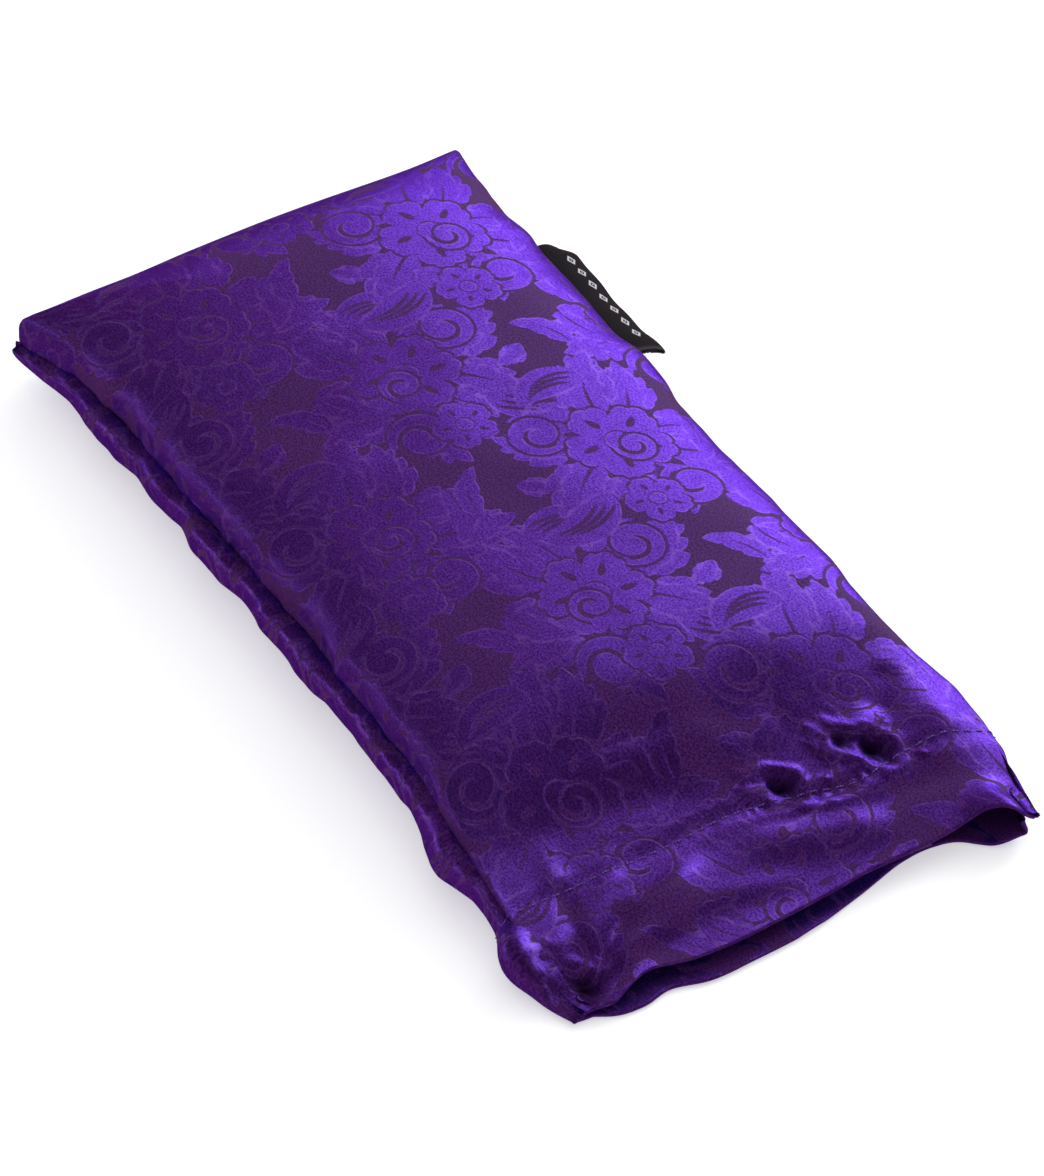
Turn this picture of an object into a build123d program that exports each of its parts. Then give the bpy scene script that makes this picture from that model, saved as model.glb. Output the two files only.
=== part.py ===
from build123d import *

import os
from math import cos, pi, sin, sqrt

# Eye pillow: a seed-filled inner pillow inside a removable brocade cover.
#
# The cover is two rectangular panels sewn together along both long sides and the far end. Its near
# end is a hemmed mouth, held shut by a strip of hook tape and a strip of loop tape. A folded woven
# label is caught in one side seam. The inner pillow is a plain cotton bag of seeds.
#
# Frame: millimetres, +Z up, +X towards the mouth, origin in the middle of the resting face.
# The pillow bends across its middle, so what crosses that line is a far and a near half.
# The mouth's top lip hinges up just behind its stitch row, and the label flaps about its seam.

# Cover
cover_length = 230.0
cover_width = 105.0
cloth = 0.5
crown_above_seam = 15.0
seam_height_middle = 12.0
seam_height_far = 9.0
seam_allowance = 7.0
flat_cut = 0.3  # the bottom panel bulges this far past the table plane before it is cut flat

# Slack end and mouth
slack_start = 50.0
slack_end = 98.0
lip_crown = 2.4
seam_height_mouth = 2.4
lip_hinge_x = 84.0
hem_row_x = 88.0

# Inner pillow
inner_far = -106.0
inner_near = 79.0
inner_width = 88.0
muslin = 0.4
slack_gap = 0.4  # room between one layer and the next
closing_stitch_pitch = 6.0
closing_stitch_count = 7
closing_stitch_radius = 1.1

# Hook and loop tapes
tape_width = 18.0
tape_length = 70.0
tape_middle_x = 101.0
hook_tape_low, hook_tape_high = 0.9, 2.3
loop_tape_low, loop_tape_high = 2.4, 3.2
tape_seam_inset = 1.5
tape_corner = 1.0

# Label
label_length = 39.0
label_middle_x = -60.5
label_reach = 9.0
label_cloth = 0.35
label_thickness = 1.0
label_root_gap = 0.6

# Threads and joints
seam_thread = 0.3
fine_thread = 0.15
seam_line_inset = 3.0
joint_gap = 0.1
seam_gap = 0.06  # half the clearance between the two panels at the seam line

# Shape of the crowned cross-sections
side_rise = 0.9  # how squarely the sides leave the seam line
top_squareness = 0.55
bottom_squareness = 0.8
end_round = 30.0  # length over which the crown dies away towards a sewn end
least_cover_height = 3.0  # a sewn end keeps this height, so that no section is flat
least_bag_height = 1.1
section_count = 15
cord_point_count = 10
thread_end_gap = 1.0  # a seam thread stops this far short of a joint

half_length = cover_length / 2
half_width = cover_width / 2
seam_line_y = half_width - seam_line_inset


def ease(value, start, end):
    """0 before start, 1 after end, and smooth between them."""
    t = min(1.0, max(0.0, (value - start) / (end - start)))
    return t * t * (3 - 2 * t)


def seam_height(x):
    """The seam line rises from the far end, runs level, and drops to the table at the mouth."""
    rise = (seam_height_middle - seam_height_far) * ease(x, -half_length, -half_length + 40)
    drop = (seam_height_middle - seam_height_mouth) * ease(x, slack_start, slack_end)
    return seam_height_far + rise - drop


def roundness(distance_from_end):
    """Share of the full crown this far in from a sewn end."""
    u = 1 - min(1.0, max(0.0, distance_from_end / end_round))
    return sqrt(1 - u**2.5)


def cover_crown(x):
    """Height of the top panel over the seam line: full over the seeds, slack near the mouth."""
    full = lip_crown + (crown_above_seam - lip_crown) * (1 - ease(x, slack_start, slack_end))
    return max(min(full, least_cover_height), full * roundness(x + half_length))


def cover_depth(x):
    """Depth of the bottom panel under the seam line."""
    full = seam_height(x) + flat_cut
    return max(min(full, least_cover_height), full * roundness(x + half_length))


def inner_height(x, cover_height, inset):
    """Height of a layer inside the cover, rounded off at both ends of the inner pillow."""
    ends = roundness(x - inner_far - inset) * roundness(inner_near - inset - x)
    return max(least_bag_height, (cover_height - cloth - slack_gap - inset) * ends)


def bag_crown(x, inset=0.0):
    """Height of the bag's top over the seam line, or of a layer inset within it."""
    return inner_height(x, cover_crown(x), inset)


def bag_depth(x, inset=0.0):
    """Depth of the bag's bottom under the seam line, or of a layer inset within it."""
    return inner_height(x, cover_depth(x) - flat_cut, inset)


def stations(start, end, closing=None):
    """Cross-section places, closer together towards an end that closes."""
    shares = [i / (section_count - 1) for i in range(section_count)]
    if closing == "start":
        shares = [1 - cos(pi / 2 * share) for share in shares]
    if closing == "end":
        shares = [sin(pi / 2 * share) for share in shares]
    return [start + (end - start) * share for share in shares]


def crown_curves(half, seam, height, squareness):
    """The crowned outline from one side seam, over the middle, to the other. Call in a BuildLine."""
    for side in (-1, 1):
        Bezier(
            (side * half, seam),
            (side * half, seam + side_rise * height),
            (side * half * squareness, seam + height),
            (0, seam + height),
        )


def panel_shell(places, up, height_at, width, thickness, allowance, squareness):
    """One cloth panel as a crowned channel along X, with its seam allowance turned inside.

    up is 1 for a top panel and -1 for a bottom one. height_at gives its height over the seam line.
    The cloth is doubled where it turns at the sides. A panel cut flat keeps its thickness there.
    """
    half = width / 2
    inner_half = half - 2 * thickness
    fold = thickness if allowance else 0
    below_table = flat_cut if height_at is cover_depth else 0
    with BuildPart() as shell:
        for x in places:
            seam = seam_height(x) + up * seam_gap
            inner_seam = seam + up * fold
            height = height_at(x)
            hollow = height - thickness - fold - below_table
            with BuildSketch(Plane.YZ.offset(x)):
                with BuildLine():
                    crown_curves(half, seam, up * height, squareness)
                    crown_curves(inner_half, inner_seam, up * hollow, squareness)
                    for side in (-1, 1):
                        outer_edge = (side * half, seam)
                        inner_edge = (side * inner_half, inner_seam)
                        if allowance:
                            turned_edge = side * (half - allowance)
                            Polyline(
                                outer_edge,
                                (turned_edge, seam),
                                (turned_edge, inner_seam),
                                inner_edge,
                            )
                        else:
                            Line(outer_edge, inner_edge)
                make_face()
        loft(ruled=True)
    return shell.part


def far_end_wall(up, height_at, squareness):
    """The cloth of a cover panel that turns at its far end to meet the seam line.

    Its outline runs through the middle of the panel's thickness.
    """
    half = half_width - cloth
    base = seam_height(-half_length) + up * (seam_gap + cloth / 2)
    with BuildPart() as wall:
        with BuildSketch(Plane.YZ.offset(-half_length)):
            with BuildLine():
                crown_curves(half, base, up * (height_at(-half_length) - cloth), squareness)
                Line((-half, base), (half, base))
            make_face()
        extrude(amount=cloth)
    return wall.part


def seed_fill(places):
    """The settled seeds, as one closed form a little inside the bag."""
    inset = muslin + slack_gap
    half = inner_width / 2 - inset
    with BuildPart() as seeds:
        for x in places:
            with BuildSketch(Plane.YZ.offset(x)):
                with BuildLine():
                    crown_curves(half, seam_height(x), bag_crown(x, inset), top_squareness)
                    crown_curves(half, seam_height(x), -bag_depth(x, inset), bottom_squareness)
                make_face()
        loft(ruled=True)
    return seeds.part


def side_cords(start, end, y, radius):
    """A cord along each side seam, y out from the middle."""
    step = (end - start) / (cord_point_count - 1)
    places = [start + step * i for i in range(cord_point_count)]
    with BuildPart() as cords:
        with BuildLine() as path:
            Spline(*[(x, y, seam_height(x)) for x in places])
        with BuildSketch(Plane(origin=path.line @ 0, z_dir=path.line % 0)):
            Circle(radius)
        sweep()
        mirror(about=Plane.XZ)
    return cords.part


def tape_cord(height):
    """The rectangle of thread that holds a tape down, in the tape's own plane."""
    with BuildPart() as cord:
        with BuildSketch(Plane.XY.offset(height - fine_thread)):
            with Locations((tape_middle_x, 0)):
                RectangleRounded(
                    tape_width - 2 * tape_seam_inset,
                    tape_length - 2 * tape_seam_inset,
                    tape_corner,
                )
            offset(amount=-2 * fine_thread, mode=Mode.SUBTRACT)
        extrude(amount=2 * fine_thread)
    return cord.part


far_places = stations(-half_length, -joint_gap, "start")
near_places = stations(joint_gap, lip_hinge_x - joint_gap)
lip_places = stations(lip_hinge_x + joint_gap, half_length)[::2]
bag_far_places = stations(inner_far, -joint_gap, "start")
bag_near_places = stations(joint_gap, inner_near, "end")

# Cover

with BuildPart() as cover_top_far:
    add(
        panel_shell(
            far_places, 1, cover_crown, cover_width, cloth, seam_allowance, top_squareness
        )
    )
    add(far_end_wall(1, cover_crown, top_squareness))

with BuildPart() as cover_top_near:
    add(
        panel_shell(
            near_places, 1, cover_crown, cover_width, cloth, seam_allowance, top_squareness
        )
    )

with BuildPart() as cover_top_lip:  # two layers thick: the panel and its hem
    add(panel_shell(lip_places, 1, cover_crown, cover_width, 2 * cloth, 0, top_squareness))

with BuildPart() as cover_bottom_far:
    add(
        panel_shell(
            far_places, -1, cover_depth, cover_width, cloth, seam_allowance, bottom_squareness
        )
    )
    add(far_end_wall(-1, cover_depth, bottom_squareness))
    split(bisect_by=Plane.XY, keep=Keep.TOP)

with BuildPart() as cover_bottom_near:
    add(
        panel_shell(
            near_places + lip_places,
            -1,
            cover_depth,
            cover_width,
            cloth,
            seam_allowance,
            bottom_squareness,
        )
    )
    split(bisect_by=Plane.XY, keep=Keep.TOP)

with BuildPart() as side_seam_thread_far:
    add(side_cords(-half_length + seam_line_inset, -thread_end_gap, seam_line_y, seam_thread))

with BuildPart() as side_seam_thread_near:
    add(side_cords(thread_end_gap, lip_hinge_x - thread_end_gap, seam_line_y, seam_thread))

with BuildPart() as far_end_seam_thread:
    seam_x = -half_length + seam_line_inset
    seam_reach = seam_line_y - thread_end_gap
    with BuildSketch(Plane.XZ.offset(-seam_reach)):
        with Locations((seam_x, seam_height(seam_x))):
            Circle(seam_thread)
    extrude(amount=2 * seam_reach)

# Mouth

with BuildPart() as mouth_hem_thread_top:
    with BuildLine(Plane.YZ.offset(hem_row_x)) as hem_path:
        hem_seam = seam_height(hem_row_x) + seam_gap
        crown_curves(half_width, hem_seam, cover_crown(hem_row_x), top_squareness)
    with BuildSketch(Plane(origin=hem_path.line @ 0, z_dir=hem_path.line % 0)):
        Circle(fine_thread)
    sweep()

with BuildPart() as mouth_hem_thread_bottom:
    with BuildSketch(Plane.XZ.offset(-tape_length / 2)):
        with Locations((hem_row_x, cloth - 2 * fine_thread)):
            Circle(fine_thread)
    extrude(amount=tape_length)

with BuildPart() as hook_tape:
    with BuildSketch(Plane.XY.offset(hook_tape_low)):
        with Locations((tape_middle_x, 0)):
            RectangleRounded(tape_width, tape_length, tape_corner)
    extrude(amount=hook_tape_high - hook_tape_low)

with BuildPart() as loop_tape:
    with BuildSketch(Plane.XY.offset(loop_tape_low)):
        with Locations((tape_middle_x, 0)):
            RectangleRounded(tape_width, tape_length, tape_corner)
    extrude(amount=loop_tape_high - loop_tape_low)

with BuildPart() as hook_tape_thread:
    add(tape_cord((hook_tape_low + hook_tape_high) / 2))

with BuildPart() as loop_tape_thread:
    add(tape_cord((loop_tape_low + loop_tape_high) / 2))

# Label: a folded ribbon, open at its root

with BuildPart() as woven_label:
    root_y = half_width + label_root_gap
    with BuildSketch(Plane.YZ.offset(label_middle_x - label_length / 2)):
        with Locations((root_y + label_reach / 2, seam_height(label_middle_x))):
            SlotOverall(label_reach, label_thickness)
            with Locations((-label_reach / 4, 0)):
                Rectangle(label_reach / 2, label_thickness)
            with Locations((-label_cloth, 0)):
                Rectangle(
                    label_reach - label_thickness,
                    label_thickness - 2 * label_cloth,
                    mode=Mode.SUBTRACT,
                )
    extrude(amount=label_length)

# Inner pillow

with BuildPart() as inner_bag_top_far:
    add(panel_shell(bag_far_places, 1, bag_crown, inner_width, muslin, 0, top_squareness))

with BuildPart() as inner_bag_top_near:
    add(panel_shell(bag_near_places, 1, bag_crown, inner_width, muslin, 0, top_squareness))

with BuildPart() as inner_bag_bottom_far:
    add(panel_shell(bag_far_places, -1, bag_depth, inner_width, muslin, 0, bottom_squareness))

with BuildPart() as inner_bag_bottom_near:
    add(panel_shell(bag_near_places, -1, bag_depth, inner_width, muslin, 0, bottom_squareness))

bag_seam_y = (inner_width - muslin) / 2

with BuildPart() as inner_bag_seam_thread_far:
    add(side_cords(inner_far + 1, -thread_end_gap, bag_seam_y, fine_thread))

with BuildPart() as inner_bag_seam_thread_near:
    add(side_cords(thread_end_gap, inner_near - 1, bag_seam_y, fine_thread))

with BuildPart() as inner_bag_closing_thread:
    bag_end = Plane(origin=(inner_near, 0, seam_height(inner_near)), x_dir=(0, 1, 0), z_dir=(0, 0, 1))
    with Locations(bag_end):
        with GridLocations(closing_stitch_pitch, 1, closing_stitch_count, 1):
            Torus(closing_stitch_radius, fine_thread, rotation=(0, 90, 0))

end_inset = muslin + slack_gap + closing_stitch_radius

with BuildPart() as seed_fill_far:
    add(seed_fill(stations(inner_far + end_inset, -joint_gap, "start")))

with BuildPart() as seed_fill_near:
    add(seed_fill(stations(joint_gap, inner_near - end_inset, "end")))

nodes = {
    "cover_top_far": cover_top_far,
    "cover_top_near": cover_top_near,
    "cover_top_lip": cover_top_lip,
    "cover_bottom_far": cover_bottom_far,
    "cover_bottom_near": cover_bottom_near,
    "side_seam_thread_far": side_seam_thread_far,
    "side_seam_thread_near": side_seam_thread_near,
    "far_end_seam_thread": far_end_seam_thread,
    "mouth_hem_thread_top": mouth_hem_thread_top,
    "mouth_hem_thread_bottom": mouth_hem_thread_bottom,
    "hook_tape": hook_tape,
    "loop_tape": loop_tape,
    "hook_tape_thread": hook_tape_thread,
    "loop_tape_thread": loop_tape_thread,
    "woven_label": woven_label,
    "inner_bag_top_far": inner_bag_top_far,
    "inner_bag_top_near": inner_bag_top_near,
    "inner_bag_bottom_far": inner_bag_bottom_far,
    "inner_bag_bottom_near": inner_bag_bottom_near,
    "inner_bag_seam_thread_far": inner_bag_seam_thread_far,
    "inner_bag_seam_thread_near": inner_bag_seam_thread_near,
    "inner_bag_closing_thread": inner_bag_closing_thread,
    "seed_fill_far": seed_fill_far,
    "seed_fill_near": seed_fill_near,
}

os.makedirs("parts", exist_ok=True)
for name, node in nodes.items():
    node.part.label = name
    export_step(node.part, f"parts/{name}.step")
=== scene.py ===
"""Eye pillow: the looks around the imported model. Lengths are in millimetres until a mesh is made.

+X points at the open mouth, +Y at the side with the label, +Z up.
"""

import math

import bpy
import numpy as np
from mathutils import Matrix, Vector


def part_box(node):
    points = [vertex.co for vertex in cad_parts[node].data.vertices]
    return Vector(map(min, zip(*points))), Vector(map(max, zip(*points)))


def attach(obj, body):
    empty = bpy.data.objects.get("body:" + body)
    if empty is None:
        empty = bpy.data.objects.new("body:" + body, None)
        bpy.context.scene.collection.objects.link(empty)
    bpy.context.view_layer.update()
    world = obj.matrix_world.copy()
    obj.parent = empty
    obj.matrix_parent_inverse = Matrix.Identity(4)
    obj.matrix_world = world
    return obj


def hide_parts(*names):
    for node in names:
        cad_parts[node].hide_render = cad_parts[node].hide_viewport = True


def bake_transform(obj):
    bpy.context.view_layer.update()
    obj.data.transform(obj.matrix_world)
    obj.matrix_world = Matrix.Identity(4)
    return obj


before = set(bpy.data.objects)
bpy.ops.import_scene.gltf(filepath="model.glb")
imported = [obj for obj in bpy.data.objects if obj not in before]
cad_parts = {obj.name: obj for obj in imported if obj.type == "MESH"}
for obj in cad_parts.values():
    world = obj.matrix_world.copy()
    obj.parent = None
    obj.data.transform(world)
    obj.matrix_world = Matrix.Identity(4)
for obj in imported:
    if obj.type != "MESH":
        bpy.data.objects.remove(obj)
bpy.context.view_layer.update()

MM = 0.001


# ---- places, from the frame


def box_mm(node):
    low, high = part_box(node)
    return np.array(low) / MM, np.array(high) / MM


top_far_low, top_far_high = box_mm("cover_top_far")
lip_low, lip_high = box_mm("cover_top_lip")
label_low, label_high = box_mm("woven_label")
bag_far_low, bag_far_high = box_mm("inner_bag_top_far")
bag_near_high = box_mm("inner_bag_top_near")[1]
closing_low, closing_high = box_mm("inner_bag_closing_thread")
hem_low, hem_high = box_mm("mouth_hem_thread_top")
hook_low, hook_high = box_mm("hook_tape")

far_x = top_far_low[0]
mouth_x = lip_high[0]
lip_x = lip_low[0]
crown_z = top_far_high[2]
hem_row_x = (hem_low[0] + hem_high[0]) / 2
label_root_y, label_root_z = label_low[1], (label_low[2] + label_high[2]) / 2


# ---- numbers and noise


def ease(value, start, end):
    """0 before start, 1 after end, and smooth between them."""
    t = np.clip((value - start) / (end - start), 0, 1)
    return t * t * (3 - 2 * t)


def through(x, *points):
    """A smooth curve through a few (x, value) points."""
    xs, ys = np.array(points, float).T
    slopes = np.gradient(ys, xs)
    x = np.clip(x, xs[0], xs[-1])
    i = np.clip(np.searchsorted(xs, x) - 1, 0, len(xs) - 2)
    h = xs[i + 1] - xs[i]
    t = (x - xs[i]) / h
    return (
        (2 * t**3 - 3 * t**2 + 1) * ys[i]
        + (t**3 - 2 * t**2 + t) * h * slopes[i]
        + (3 * t**2 - 2 * t**3) * ys[i + 1]
        + (t**3 - t**2) * h * slopes[i + 1]
    )


def noise(a, b, size, seed):
    """Smooth seeded noise between -1 and 1, with features about size across."""
    table = np.random.RandomState(seed).uniform(-1, 1, (64, 64))
    a, b = a / size, b / size
    ia, ib = np.floor(a).astype(int), np.floor(b).astype(int)
    fa, fb = a - ia, b - ib
    fa, fb = fa * fa * (3 - 2 * fa), fb * fb * (3 - 2 * fb)
    ia, ib = ia % 64, ib % 64
    ja, jb = (ia + 1) % 64, (ib + 1) % 64
    low = table[ia, ib] * (1 - fa) + table[ja, ib] * fa
    high = table[ia, jb] * (1 - fa) + table[ja, jb] * fa
    return low * (1 - fb) + high * fb


def unit(vectors):
    return vectors / np.maximum(np.linalg.norm(vectors, axis=-1, keepdims=True), 1e-9)


def normals_of(points):
    """Unit normals of a grid of points."""
    return unit(np.cross(np.gradient(points, axis=0), np.gradient(points, axis=1)))


def bezier(p0, p1, p2, p3, count):
    t = np.linspace(0, 1, count)[:, None]
    p0, p1, p2, p3 = (np.array(p, float) for p in (p0, p1, p2, p3))
    return (1 - t) ** 3 * p0 + 3 * t * (1 - t) ** 2 * p1 + 3 * t**2 * (1 - t) * p2 + t**3 * p3


def spaced(line, count):
    """Places along a polyline at equal steps: for each, a float index into the line, and the length."""
    steps = np.linalg.norm(np.diff(line, axis=0), axis=1)
    length = np.concatenate([[0], np.cumsum(steps)])
    wanted = np.linspace(0, length[-1], count)
    return np.interp(wanted, length, np.arange(len(line))), length[-1]


def pick(values, index):
    """Values at float indexes, by straight lines between neighbours."""
    low = np.minimum(index.astype(int), len(values) - 2)
    share = (index - low).reshape((-1,) + (1,) * (values.ndim - 1))
    return values[low] * (1 - share) + values[low + 1] * share


def resample(line, count):
    """A polyline at equal steps along its length."""
    index, length = spaced(line, count)
    return pick(line, index), length


# ---- meshes and materials


class Shape:
    """Points, faces and point values gathered from grids and tubes, in millimetres."""

    def __init__(self):
        self.points, self.faces, self.values, self.normals, self.count = [], [], [], [], 0

    def add(self, points, around=False, normals=None, **values):
        """Sheets from rows of points, or tubes when they close around. Many can be stacked in front."""
        size = points[..., 0].size
        index = self.count + np.arange(size).reshape((-1,) + points.shape[-3:-1])
        if around:
            self.faces += index[:, 0, ::-1].tolist() + index[:, -1].tolist()
            index = np.concatenate([index, index[:, :, :1]], 2)
        quads = np.stack([index[:, :-1, :-1], index[:, 1:, :-1], index[:, 1:, 1:], index[:, :-1, 1:]], -1)
        self.faces += quads.reshape(-1, 4).tolist()
        self.points.append(points.reshape(-1, 3))
        self.values.append((size, values))
        if normals is not None:
            self.normals.append(normals.reshape(-1, 3))
        self.count += size

    def tubes(self, paths, radii, up, sides=6, **values):
        """Many round threads at once: paths is threads x stations x 3, and up is across each."""
        tangent = np.gradient(paths, axis=1)
        side = unit(np.cross(tangent, np.broadcast_to(up, paths.shape)))
        over = unit(np.cross(side, tangent))
        turn = 2 * np.pi * np.arange(sides) / sides
        ring = side[:, :, None] * np.cos(turn)[:, None] + over[:, :, None] * np.sin(turn)[:, None]
        points = paths[:, :, None] + ring * np.asarray(radii)[None, :, None, None]
        along = np.broadcast_to(np.linspace(0, 1, paths.shape[1])[None, :, None], points.shape[:3])
        self.add(points, around=True, along=along, **values)

    def piece(self, name, material):
        mesh = bpy.data.meshes.new(name)
        points = np.concatenate(self.points)
        mesh.from_pydata((points * MM).tolist(), [], self.faces)
        mesh.polygons.foreach_set("use_smooth", np.ones(len(mesh.polygons), bool))
        for key in sorted({key for _, values in self.values for key in values}):
            wide = any(key in values and np.ndim(values[key]) == 3 and values[key].shape[-1] == 3
                       for _, values in self.values)
            parts = [
                np.asarray(values[key], np.float32).reshape(size, -1) if key in values
                else np.zeros((size, 3 if wide else 1), np.float32)
                for size, values in self.values
            ]
            layer = mesh.attributes.new(key, "FLOAT_VECTOR" if wide else "FLOAT", "POINT")
            layer.data.foreach_set("vector" if wide else "value", np.concatenate(parts).reshape(-1))
        mesh.materials.append(material)
        mesh.update()
        if self.normals:
            mesh.normals_split_custom_set_from_vertices(np.concatenate(self.normals).tolist())
        made = bpy.data.objects.new(name, mesh)
        bpy.context.scene.collection.objects.link(made)
        return made


class Nodes:
    """A short way to write a node material, or another node tree when one is given."""

    def __init__(self, name, tree=None):
        if tree is None:
            self.material = bpy.data.materials.new(name)
            self.material.use_nodes = True
            tree = self.material.node_tree
            self.shader = tree.nodes["Principled BSDF"]
        self.tree = tree

    def add(self, kind, inputs=None, **settings):
        node = self.tree.nodes.new(kind)
        for key, value in settings.items():
            setattr(node, key, value)
        for key, value in (inputs or {}).items():
            self.put(node.inputs[key], value)
        return node

    def put(self, socket, value):
        if isinstance(value, bpy.types.NodeSocket):
            self.tree.links.new(value, socket)
        else:
            socket.default_value = value

    def math(self, operation, a, b=0.0, c=0.0):
        node = self.add("ShaderNodeMath", operation=operation)
        for socket, value in zip(node.inputs, (a, b, c)):
            self.put(socket, value)
        return node.outputs[0]

    def span(self, value, start, end, low=0.0, high=1.0):
        """value from start..end mapped smoothly to low..high."""
        node = self.add("ShaderNodeMapRange", interpolation_type="SMOOTHSTEP")
        for socket, setting in zip(node.inputs, (value, start, end, low, high)):
            self.put(socket, setting)
        return node.outputs[0]

    def mix(self, share, a, b):
        node = self.add("ShaderNodeMix", data_type="RGBA")
        self.put(node.inputs[0], share)
        self.put(node.inputs[6], a)
        self.put(node.inputs[7], b)
        return node.outputs[2]

    def times(self, a, b):
        return self.math("MULTIPLY", a, b)

    def plus(self, a, b):
        return self.math("ADD", a, b)

    def value(self, name):
        """A number that the mesh carries."""
        return self.add("ShaderNodeAttribute", attribute_name=name).outputs["Fac"]

    def vector(self, name):
        return self.add("ShaderNodeAttribute", attribute_name=name).outputs["Vector"]

    def place(self):
        return self.add("ShaderNodeTexCoord").outputs["Object"]

    def noise(self, vector, scale, detail=2.0):
        node = self.add("ShaderNodeTexNoise", {"Vector": vector, "Scale": scale, "Detail": detail})
        return node.outputs[0]

    def bump(self, height, distance, strength=1.0, normal=None):
        inputs = {"Height": height, "Distance": distance, "Strength": strength}
        if normal is not None:
            inputs["Normal"] = normal
        return self.add("ShaderNodeBump", inputs).outputs[0]

    def finish(self, **inputs):
        for key, value in inputs.items():
            self.put(self.shader.inputs[key.replace("_", " ")], value)
        return self.material


def rgb(red, green, blue):
    """A colour as it looks on screen, 0 to 255, in the renderer's linear numbers."""
    def linear(c):
        c /= 255
        return c / 12.92 if c <= 0.04045 else ((c + 0.055) / 1.055) ** 2.4
    return (linear(red), linear(green), linear(blue), 1.0)


def brocade_material():
    """Damask: satin figures over a duller ground, with a fine outline thread and a visible weave, and painted
    shade in the tucks and the seam groove.
    """
    m = Nodes("brocade")
    inside = m.span(m.value("figure"), -0.14, 0.14)
    line = m.value("outline")
    cloth = m.vector("cloth")
    grain = m.noise(cloth, 2.1, 3.0)
    slub = m.noise(cloth, 0.35, 4.0)
    broken = m.span(m.noise(cloth, 0.3, 3.0), 0.38, 0.56)
    outline = m.times(m.times(m.span(line, 0.45, 0.9), broken), inside)
    fine = m.span(grain, 0.32, 0.68)
    ground = m.mix(fine, rgb(50, 18, 70), rgb(96, 42, 124))
    satin = m.mix(fine, rgb(82, 48, 168), rgb(130, 88, 226))
    colour = m.mix(inside, ground, satin)
    colour = m.mix(m.times(outline, 0.35), colour, rgb(160, 124, 236))
    colour = m.mix(m.times(m.span(slub, 0.4, 0.75), 0.25), colour, rgb(66, 30, 120))
    # painted shade: the colour goes near black in the tucks and down in the seam groove, where shade falls
    colour = m.mix(m.value("hollow"), colour, rgb(16, 5, 24))
    metal = m.span(inside, 0, 1, 0.15, 0.92)
    rough = m.plus(m.span(inside, 0, 1, 0.52, 0.37), m.span(grain, 0.3, 0.7, -0.05, 0.05))
    weave = m.add(
        "ShaderNodeTexWave",
        {"Vector": cloth, "Scale": 2.0, "Distortion": 0.8, "Detail": 1.0},
        bands_direction="DIAGONAL",
    ).outputs[1]
    relief = m.plus(m.times(inside, 0.5), m.times(outline, 0.35))
    normal = m.bump(relief, 0.00012, 0.35)
    normal = m.bump(m.plus(weave, m.times(grain, 1.5)), 0.00005, 0.5, normal)
    return m.finish(
        Base_Color=colour, Roughness=rough, Normal=normal, Metallic=metal, IOR=1.35,
        Specular_Tint=rgb(170, 130, 240), Sheen_Weight=0.02, Sheen_Roughness=0.35,
        Sheen_Tint=rgb(150, 110, 240),
    )


def thread_material(name, dark, light):
    """Twisted sewing thread."""
    m = Nodes(name)
    along = m.value("along")
    place = m.place()
    twist = m.math("SINE", m.times(along, 38.0))
    fibre = m.noise(place, 5200.0, 2.0)
    colour = m.mix(m.span(m.plus(twist, fibre), -0.6, 1.6), dark, light)
    return m.finish(
        Base_Color=colour, Roughness=m.span(fibre, 0.3, 0.7, 0.38, 0.6), Sheen_Weight=0.2,
        Normal=m.bump(m.plus(twist, m.times(fibre, 0.5)), 0.00006, 0.8),
    )


def label_material():
    """Black satin ribbon with a woven row of off-white lozenges."""
    m = Nodes("label")
    place = m.add("ShaderNodeSeparateXYZ", {"Vector": m.vector("ribbon")})
    along, across, face = place.outputs
    pitch, row_middle, row_start, row_end = 4.4, 4.6, 3.5, 34.7
    step = m.math("ABSOLUTE", m.math("SUBTRACT", m.math("FRACT", m.math("DIVIDE", along, pitch)), 0.5))
    away = m.math("ABSOLUTE", m.math("SUBTRACT", across, row_middle))
    lozenge = m.plus(m.times(step, 2.6), m.times(away, 0.95))
    open_middle = m.times(m.span(lozenge, 0.88, 1.0, 1.0, 0.0), m.span(lozenge, 0.42, 0.52))
    dot = m.math("MAXIMUM", open_middle, m.span(lozenge, 0.14, 0.22, 1.0, 0.0))
    kept = m.times(
        m.span(along, row_start, row_start + 0.4), m.span(along, row_end - 0.4, row_end, 1.0, 0.0)
    )
    mark = m.times(m.times(dot, kept), m.span(face, 0.4, 0.6))
    cloth = m.vector("ribbon")
    ribs = m.math("SINE", m.times(along, 22.0))
    picks = m.math("SINE", m.times(across, 26.0))
    grain = m.noise(cloth, 4.0, 3.0)
    black = m.mix(m.span(grain, 0.35, 0.7), rgb(14, 12, 18), rgb(34, 31, 40))
    white = m.mix(m.span(grain, 0.35, 0.7), rgb(196, 192, 200), rgb(232, 230, 236))
    worn = m.span(along, 37.4, 39.2)
    black = m.mix(m.times(worn, 0.55), black, rgb(96, 92, 100))
    height = m.plus(m.times(mark, 2.0), m.times(m.plus(ribs, picks), 0.5))
    return m.finish(
        Base_Color=m.mix(mark, black, white), Roughness=m.span(mark, 0, 1, 0.7, 0.8),
        Specular_IOR_Level=0.15, Normal=m.bump(height, 0.00008, 0.7),
    )


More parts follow.
